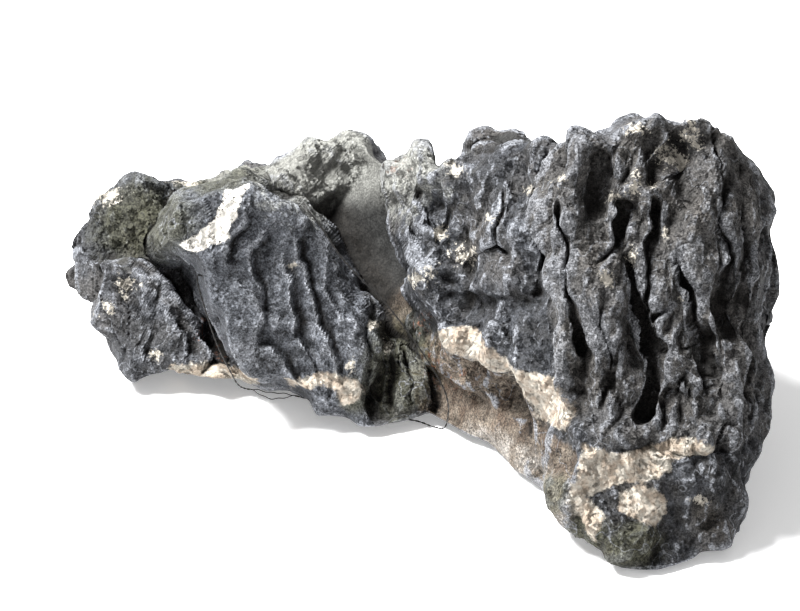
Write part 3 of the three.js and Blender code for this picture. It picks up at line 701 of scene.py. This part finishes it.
# Patches as (across, up, half width, half height): pale crust, lichen, algae, brown and rust.
CRUST = [
    (-149, 141, 7, 6), (-133, 104, 4, 4), (-158, 128, 4, 5), (23, 156, 9, 6), (6.5, 142, 7, 3.5),
    (39, 173, 5, 3), (58, 186, 4.5, 3), (21, 197, 6, 4), (107, 190, 4.5, 7), (95, 184, 5, 4),
    (115, 189, 3.5, 4), (126, 204, 9, 5), (134, 215, 7, 8), (107, 217, 8, 4), (121, 164, 2.5, 5),
    (105, 154, 3, 6), (93, 142, 4.5, 5), (130, 133, 3, 3), (137, 35, 6, 3.5), (-160, 186, 10, 5),
    (-120, 198, 12, 4), (-62, 150, 5, 2), (12, 166, 4, 6), (70, 192, 5, 4), (-22, 120, 4, 3.5),
    (-14.5, 109, 3, 7), (-33, 99, 3, 4)]
LICHEN = [(-36, 206, 54, 34), (-100, 201, 20, 5)]
ALGAE = [
    (106, 14, 18, 14), (70, 37, 7, 12), (-8, 98, 24, 32), (-140, 172, 36, 24), (-104, 196, 30, 12),
    (-30, 84, 12, 12), (84, 20, 10, 14)]
BROWN_BED = [(4, 108, 26, 40), (30, 84, 34, 28), (48, 68, 24, 20)]
RUST = [
    (10, 98, 9, 16), (-9, 200, 10, 7), (-108, 117, 7, 12), (2, 120, 6, 8), (24, 92, 8, 10),
    (-101, 108, 6, 10)]
FAR_OUT = 20
LOBE_SHADE_REACH = 24
LOBE_SHADE_FADE = 20


def patches(spots):
    """Strength of the strongest of several soft oval spots, 1 in the middle and 0 at the edge."""
    strength = np.full(across.shape, -1.0)
    for middle, height, half_width, half_height in spots:
        reach = np.hypot((across - middle) / half_width, (up - height) / half_height)
        strength = np.maximum(strength, 1 - reach)
    return np.where(facing > 0.5, strength, -1)


def inside(outline_list):
    """Distance in from the nearest of several outlines, in millimetres, far outside on the back."""
    reach = np.max([inset_from(outline, across, up) for outline in outline_list], axis=0)
    return np.where(facing > 0.5, np.clip(reach, -FAR_OUT, FAR_OUT), -FAR_OUT)


# Painted shade: the gully is darkened along the lobe's foot, where the lobe's shadow falls.
_, from_line = from_gully_head(across, up)
painted_lobe_shade = bed * np.clip((LOBE_SHADE_REACH - from_line) / LOBE_SHADE_FADE, 0, 1) * facing

rock = make_piece("rock_surface", end_to_end(place), grid_faces(place), False, dict(
    proud_fine=proud_fine, proud_rim=proud_rim, proud_wide=proud_wide, bed=bed, fluted=fluted,
    slabby=slabby, painted_lobe_shade=painted_lobe_shade, wedge=inside([WEDGE_SIDE]), pale_hem=inside([PALE_HEM]),
    calcite=inside([CALCITE_VEIN]), lime=inside(LIME_BANDS), crust=patches(CRUST), algae=patches(ALGAE),
    rust=patches(RUST), lichen=patches(LICHEN), brown=patches(BROWN_BED)))

DARK_STONE = (0.018, 0.018, 0.019, 1)
BLUE_STONE = (0.041, 0.045, 0.054, 1)
WARM_STONE = (0.053, 0.046, 0.038, 1)
PALE_EDGE = (0.215, 0.224, 0.245, 1)
# Near black for cracks, and for painted shade in hollows and beside the lobe.
CRACK_AND_SHADE_DARK = (0.013, 0.011, 0.009, 1)
CREAM = (0.30, 0.278, 0.240, 1)
WHITE_CALCITE = (0.60, 0.575, 0.53, 1)
PIT = (0.04, 0.037, 0.034, 1)
TAN_LIME = (0.235, 0.192, 0.150, 1)
GREEN_ALGAE = (0.050, 0.049, 0.026, 1)
PALE_LICHEN = (0.29, 0.29, 0.265, 1)
LICHEN_DUST = (0.160, 0.160, 0.147, 1)
RUST_BROWN = (0.24, 0.085, 0.04, 1)
GULLY_OLIVE_AND_SHADE = (0.023, 0.023, 0.022, 1)
MASS_BROWN = (0.090, 0.085, 0.080, 1)
LOBE_GREY = (0.128, 0.136, 0.153, 1)
BED_BROWN = (0.075, 0.053, 0.038, 1)
WEDGE_BROWN = (0.165, 0.137, 0.108, 1)
HEM_GREY = (0.34, 0.32, 0.295, 1)

rock_material = bpy.data.materials.new("limestone")
rock_material.use_nodes = True
tree = rock_material.node_tree
shader = tree.nodes["Principled BSDF"]


def node(kind, inputs, **settings):
    """A new shader node with its settings; each input is a number, a colour or another node's output."""
    made = tree.nodes.new(kind)
    for name, value in settings.items():
        setattr(made, name, value)
    for socket, value in inputs.items():
        if isinstance(value, bpy.types.NodeSocket):
            tree.links.new(value, made.inputs[socket])
        else:
            made.inputs[socket].default_value = value
    return made


def kept(name):
    """A number that the mesh keeps on its points."""
    return node("ShaderNodeAttribute", {}, attribute_name=name).outputs["Fac"]


stone_places = node("ShaderNodeTexCoord", {}).outputs["Object"]


def vector_maths(operation, *inputs):
    """Vectors put together by an operation, as a node."""
    return node("ShaderNodeVectorMath", dict(enumerate(inputs)), operation=operation)


def speckle(size_mm, detail=4, roughness=0.6, stretch=(1, 1, 1)):
    """Noise from 0 to 1 whose features have a given size."""
    stretched = vector_maths("MULTIPLY", stone_places, stretch).outputs[0]
    inputs = {"Vector": stretched, "Scale": 1000 / size_mm, "Detail": detail, "Roughness": roughness}
    return node("ShaderNodeTexNoise", inputs).outputs["Fac"]


def maths(operation, first, second):
    """Two numbers put together by an operation."""
    return node("ShaderNodeMath", {0: first, 1: second}, operation=operation).outputs[0]


def scaled(value, factor, offset):
    """A number times a factor, plus an offset."""
    return maths("ADD", maths("MULTIPLY", value, factor), offset)


def band(value, low, high):
    """Smooth step of a number from 0 at low to 1 at high."""
    inputs = {"Value": value, "From Min": low, "From Max": high}
    return node("ShaderNodeMapRange", inputs, interpolation_type="SMOOTHSTEP").outputs["Result"]


def lay(under, over, share, strength=None):
    """One colour laid over another by a share, times a strength if there is one."""
    if strength is not None:
        share = maths("MULTIPLY", share, strength)
    inputs = {"Factor": share, 6: under, 7: over}
    return node("ShaderNodeMix", inputs, data_type="RGBA").outputs[2]


def loosened(value, size_mm, amount):
    """A number made ragged by noise of a given size."""
    ragged = maths("SUBTRACT", speckle(size_mm, 5, 0.7), 0.5)
    return maths("ADD", value, maths("MULTIPLY", ragged, amount))


def stain(name, low, high, *ragged):
    """Share of a stain: a number kept on the points, made ragged by noise of each (size, amount) in
    turn, stepped from 0 at low to 1 at high."""
    value = kept(name)
    for size_mm, amount in ragged:
        value = loosened(value, size_mm, amount)
    return band(value, low, high)


def thin_lines(size_mm, width):
    """Thin wandering lines, 1 on the line: where a noise passes through its middle value."""
    off_middle = maths("ABSOLUTE", maths("SUBTRACT", speckle(size_mm, 3, 0.55), 0.5), 0)
    return maths("SUBTRACT", 1, band(off_middle, 0, width))


FACET_WANDER = (0.35, 0.35, 0.35)
NO_TILT = (0.5, 0.5, 0.5)


def small_facets(size_mm):
    """Height in millimetres of small flat faces, each with its own tilt, and a number from 0 to 1 that
    differs from face to face."""
    wander = node("ShaderNodeTexNoise", {"Vector": stone_places, "Scale": 1000 / size_mm, "Detail": 1})
    bent_by = vector_maths("MULTIPLY", wander.outputs["Color"], FACET_WANDER).outputs[0]
    scale = (1000 / size_mm,) * 3
    moved = vector_maths("MULTIPLY_ADD", stone_places, scale, bent_by).outputs[0]
    cells = node("ShaderNodeTexVoronoi", {"Vector": moved, "Scale": 1.0})
    gap = vector_maths("SUBTRACT", moved, cells.outputs["Position"]).outputs[0]
    tilt = vector_maths("SUBTRACT", cells.outputs["Color"], NO_TILT).outputs[0]
    rise = vector_maths("DOT_PRODUCT", gap, tilt).outputs["Value"]
    own = node("ShaderNodeSeparateColor", {"Color": cells.outputs["Color"]}).outputs["Green"]
    return maths("MULTIPLY", rise, size_mm), own


CHIP_SIZE, CHIP_RISE = 3.6, 1.5
FLAKE_SIZE, FLAKE_RISE = 1.4, 1.7
FACET_SIZE, FACET_RISE = 9, 0.8
chip_height, chip_tone = small_facets(CHIP_SIZE)
flake_height, flake_tone = small_facets(FLAKE_SIZE)
facet_height, facet_tone = small_facets(FACET_SIZE)

# The stone's own colours: mottled blue-grey, warmer in patches, brown in the mass and grey on the lobe.
mottling = band(speckle(size_mm=14, detail=5, roughness=0.65), 0.36, 0.64)
colour = lay(DARK_STONE, BLUE_STONE, mottling)
colour = lay(colour, WARM_STONE, band(speckle(size_mm=45), 0.45, 0.65), strength=0.8)
colour = lay(colour, MASS_BROWN, kept("fluted"), strength=0.65)
colour = lay(colour, LOBE_GREY, kept("slabby"), strength=0.7)
colour = lay(colour, PALE_LICHEN, stain("lichen", -0.2, 0.4, (9, 1.6)), strength=0.85)

# The gully is painted dark olive: partly its own colour, partly painted shade from the lobe. It is lighter
# at its head, below the lichen, and brown where it runs out beside the wedge.
off_head = scaled(stain("lichen", 0.1, 0.7, (14, 0.4)), -0.6, 1)
in_bed = stain("bed", 0.35, 0.75, (10, 0.3))
colour = lay(colour, GULLY_OLIVE_AND_SHADE, maths("MULTIPLY", in_bed, off_head))
# Painted shade along the lobe's foot, in the gully.
colour = lay(colour, CRACK_AND_SHADE_DARK, stain("painted_lobe_shade", 0.1, 0.9, (12, 0.3)), strength=0.9)
brown = maths("MULTIPLY", in_bed, stain("brown", 0, 0.35))
brown = maths("MAXIMUM", brown, stain("wedge", -1, 2, (6, 5)))
streaks = band(speckle(size_mm=7, detail=5, roughness=0.7, stretch=(1, 1, 0.5)), 0.35, 0.65)
colour = lay(colour, lay(BED_BROWN, WEDGE_BROWN, streaks), brown)
pale_hem = stain("pale_hem", -2, 5, (10, 16))
colour = lay(colour, lay(WEDGE_BROWN, HEM_GREY, streaks), pale_hem, strength=0.8)

# Edges that stand out are painted pale, less so in the mass: partly worn stone, partly painted highlight.
# Algae, veins, cracks and rust lie over them.
colour = lay(colour, PALE_EDGE, stain("proud_fine", 0.35, 1.1, (2, 1.0)), strength=0.25)
rim_share = scaled(kept("fluted"), -0.45, 0.8)
rim = maths("MULTIPLY", stain("proud_rim", 0.14, 0.34, (2.5, 0.5)), rim_share)
colour = lay(colour, PALE_EDGE, rim)
colour = lay(colour, GREEN_ALGAE, stain("algae", -0.1, 0.5, (8, 0.8)), strength=0.72)
veins = maths("MULTIPLY", thin_lines(size_mm=38, width=0.006), stain("bed", 0.5, 0.1))
colour = lay(colour, PALE_EDGE, veins, strength=0.6)
cracks = maths("MULTIPLY", thin_lines(size_mm=13, width=0.010), band(speckle(size_mm=17), 0.42, 0.56))
colour = lay(colour, CRACK_AND_SHADE_DARK, cracks, strength=0.75)
rust_specks = band(speckle(size_mm=3.5, detail=4, roughness=0.7), 0.52, 0.66)
rust = maths("MULTIPLY", stain("rust", 0, 0.7), rust_specks)
colour = lay(colour, RUST_BROWN, rust, strength=0.7)
# Painted shade: places that sink below the surface around them are darkened.
painted_hollow_shade = band(maths("MULTIPLY", kept("proud_fine"), -1), 0.3, 1.6)
colour = lay(colour, CRACK_AND_SHADE_DARK, painted_hollow_shade, strength=0.85)

# Brightness differs from grain to grain and from facet to facet. It is also painted lower in wide hollows,
# as shade, and higher where the stone stands out, as light.
grain = scaled(band(speckle(size_mm=0.9, detail=2, roughness=0.6), 0.33, 0.67), 1.1, 0.4)
painted_relief_shading = scaled(stain("proud_wide", -3.5, 2.5), 0.45, 0.7)
tone = scaled(maths("ADD", chip_tone, maths("ADD", flake_tone, facet_tone)), 0.2, 0.34)
brightness = maths("MULTIPLY", maths("MULTIPLY", grain, painted_relief_shading), tone)
colour = node("ShaderNodeHueSaturation", {"Color": colour, "Value": brightness}).outputs["Color"]

# Dusty lichen, crust, lime and pitted calcite lie on top.
dust = maths("MULTIPLY", stain("lichen", 0, 0.55, (9, 0.6)), scaled(kept("bed"), -0.4, 0.6))
colour = lay(colour, LICHEN_DUST, dust)
colour = lay(colour, CREAM, stain("crust", 0.3, 0.7, (5, 4), (1.5, 3)))
lime_mottling = band(speckle(size_mm=6, detail=5, roughness=0.65), 0.38, 0.62)
lime = stain("lime", -1.4, 0.6, (9, 8), (2.5, 5))
colour = lay(colour, lay(TAN_LIME, CREAM, lime_mottling), lime)
pits = band(speckle(size_mm=1.5, detail=3, roughness=0.6), 0.59, 0.64)
calcite = stain("calcite", -0.2, 0.4, (6, 5), (1.5, 2))
colour = lay(colour, lay(WHITE_CALCITE, PIT, pits), calcite)
tree.links.new(colour, shader.inputs["Base Color"])
shader.inputs["Specular IOR Level"].default_value = 0.2
shader.inputs["Roughness"].default_value = 0.85

# Chips, flakes and shallow facets are a bump, which is weaker in the gully.
chips_and_flakes = maths("ADD", maths("MULTIPLY", chip_height, CHIP_RISE),
                         maths("MULTIPLY", flake_height, FLAKE_RISE))
bump_height = maths("ADD", chips_and_flakes, maths("MULTIPLY", facet_height, FACET_RISE))
bump_height = maths("MULTIPLY", bump_height, stain("bed", 1.3, 0.2))
bump = node("ShaderNodeBump", {"Height": bump_height, "Strength": 1.0, "Distance": MM})
tree.links.new(bump.outputs["Normal"], shader.inputs["Normal"])

rock.data.materials.append(rock_material)
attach(rock, "root")
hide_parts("rock")

# The tie wire
# A length of thin black annealed wire, doubled and passed round the middle lobe. Its two strands are
# twisted together, and part at the bottom left, where they make a small loop. Its ends are tucked into
# the stone.

WIRE_ROUTE = np.array([
    (-111, 144, 110), (-107, 128, 109), (-101, 110, 113), (-95, 97, 120), (-91, 89.5, 127),
    (-87, 87, 135), (-82, 86.5, 141), (-75, 85, 142), (-66, 84.2, 142), (-45, 79.5, 134.3),
    (-20, 74, 124.8), (0, 71, 119.6), (9, 68, 113.8), (14.5, 68, 102), (16.5, 75, 102.5), (16, 82, 105),
    (13, 90, 106), (6.5, 101, 106), (-3, 115, 107), (-15.5, 131, 107.5), (-28, 143.5, 106),
    (-38, 154.5, 105.5), (-47, 168, 106), (-54, 177.5, 107), (-57, 181.5, 111)])
STRAND_RADIUS = 0.24
STRAND_GAP = 0.22
TWIST_LENGTH = 7
LOOP_ACROSS = -74
LOOP_HALF_LENGTH = 11
LOOP_REACH = 6
WIRE_STATIONS = 700
WIRE_SIDES = 8
TUCK = 1.5
WIRE_BLACK = (0.018, 0.017, 0.016, 1)


def smooth_route(points, count):
    """Points along a Catmull-Rom curve: each stretch a cubic in its place between its two ends."""
    ends = np.concatenate([2 * points[:1] - points[1:2], points, 2 * points[-1:] - points[-2:-1]])
    at = np.linspace(0, len(points) - 1, count)
    index = np.minimum(at.astype(int), len(points) - 2)
    t = (at - index)[:, None]
    a, b, c, d = (ends[index + shift] for shift in range(4))
    return b + 0.5 * t * (c - a + t * (2 * a - 5 * b + 4 * c - d + t * (3 * (b - c) + d - a)))


def unit(vectors):
    """Vectors scaled to length one."""
    return vectors / np.linalg.norm(vectors, axis=-1, keepdims=True)


def tucked_end(end):
    """A point just inside the stone: a little past the point of its surface that is nearest to an end."""
    gaps = np.linalg.norm(place - end, axis=-1)
    surface = place[np.unravel_index(gaps.argmin(), gaps.shape)]
    return surface + TUCK * unit(surface - end)


wire_route = stand_up(*WIRE_ROUTE.T)
wire_route = np.concatenate([[tucked_end(wire_route[0])], wire_route, [tucked_end(wire_route[-1])]])


def strand_rows(turn, loop_share):
    """One strand: a round section carried along the route, at a gap from it that turns with the twist.
    In the loop it leaves the route, towards the front, by a share of the loop's reach."""
    middle = smooth_route(wire_route, WIRE_STATIONS)
    along = unit(np.gradient(middle, axis=0))
    aside = unit(np.cross(along, (0, -COS_LEAN, SIN_LEAN)))
    over = np.cross(along, aside)
    length = np.cumsum(np.linalg.norm(np.gradient(middle, axis=0), axis=1))
    from_loop = np.abs(middle[:, 0] - LOOP_ACROSS) / LOOP_HALF_LENGTH
    in_loop = np.where(length < length[-1] / 2, np.clip(1 - from_loop ** 2, 0, 1), 0)
    angle = (2 * np.pi * length / TWIST_LENGTH + turn)[:, None]
    strand = middle + STRAND_GAP * (np.cos(angle) * aside + np.sin(angle) * over)
    strand[:, 1] -= loop_share * LOOP_REACH * in_loop
    around = np.linspace(0, 2 * np.pi, WIRE_SIDES, endpoint=False)[:, None, None]
    tube = strand + STRAND_RADIUS * (np.cos(around) * aside + np.sin(around) * over)
    ends = np.repeat(strand[None], WIRE_SIDES, axis=0)
    return np.concatenate([ends[:, :1], tube, ends[:, -1:]], axis=1)


strands = [strand_rows(0, 0), strand_rows(np.pi, 1)]
wire_corners = np.concatenate([end_to_end(rows) for rows in strands])
strand_faces = grid_faces(strands[0])
second_faces = [[corner + len(wire_corners) // 2 for corner in face] for face in strand_faces]
wire = make_piece("tie_wire_strands", wire_corners, strand_faces + second_faces, True, {})

wire_material = bpy.data.materials.new("black_wire")
wire_material.use_nodes = True
wire_shader = wire_material.node_tree.nodes["Principled BSDF"]
wire_shader.inputs["Base Color"].default_value = WIRE_BLACK
wire_shader.inputs["Metallic"].default_value = 0.6
wire_shader.inputs["Roughness"].default_value = 0.5
wire.data.materials.append(wire_material)
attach(wire, "root")
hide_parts("tie_wire")

# The studio
# A plain white floor that glows a little, so that its shadows stay light, a soft light high on the left,
# and a camera that looks down on the broad face at thirty degrees through a long lens.

FLOOR_REACH = 6
PAPER_WHITE = (0.9, 0.9, 0.9, 1)
FULL_WHITE = (1, 1, 1, 1)
FLOOR_GLOW = 0.3
SKY_LIGHT = 0.5
WINDOW = dict(place=(-0.8, 0.2, 1.4), target=(0, 0, 0.1), size=0.6, power=150)
CAMERA_DISTANCE = 2.5
VIEW_WIDTH = 0.400
CAMERA_AIM = (-8.0, 129.75, 70.0)

floor_mesh = bpy.data.meshes.new("floor")
floor_corners = [(-FLOOR_REACH, -FLOOR_REACH, 0), (FLOOR_REACH, -FLOOR_REACH, 0),
                 (FLOOR_REACH, FLOOR_REACH, 0), (-FLOOR_REACH, FLOOR_REACH, 0)]
floor_mesh.from_pydata(floor_corners, [], [(0, 1, 2, 3)])
floor = bpy.data.objects.new("floor", floor_mesh)
bpy.context.scene.collection.objects.link(floor)
paper = bpy.data.materials.new("white_paper")
paper.use_nodes = True
paper_shader = paper.node_tree.nodes["Principled BSDF"]
paper_shader.inputs["Base Color"].default_value = PAPER_WHITE
paper_shader.inputs["Emission Color"].default_value = FULL_WHITE
paper_shader.inputs["Emission Strength"].default_value = FLOOR_GLOW
floor.data.materials.append(paper)
bpy.context.scene.view_settings.view_transform = "Standard"

world = bpy.data.worlds.new("studio")
world.use_nodes = True
sky = world.node_tree.nodes["Background"]
sky.inputs["Color"].default_value = FULL_WHITE
sky.inputs["Strength"].default_value = SKY_LIGHT
bpy.context.scene.world = world


def soft_light(name, place, target, size, power):
    """A square area light that points from its place at a target."""
    data = bpy.data.lights.new(name, "AREA")
    data.size = size
    data.energy = power
    light = bpy.data.objects.new(name, data)
    aim = np.subtract(target, place)
    light.location = place
    light.rotation_euler = Vector(aim).to_track_quat("-Z", "Y").to_euler()
    bpy.context.scene.collection.objects.link(light)


soft_light("window", **WINDOW)

aim = stand_up(*CAMERA_AIM) * MM
camera_data = bpy.data.cameras.new("camera")
camera_data.lens = camera_data.sensor_width * CAMERA_DISTANCE / VIEW_WIDTH
camera = bpy.data.objects.new("camera", camera_data)
camera.location = aim + CAMERA_DISTANCE * np.array([0, -COS_LEAN, SIN_LEAN])
camera.rotation_euler = (math.pi / 2 - FACE_LEAN, 0, 0)
bpy.context.scene.collection.objects.link(camera)
bpy.context.scene.camera = camera
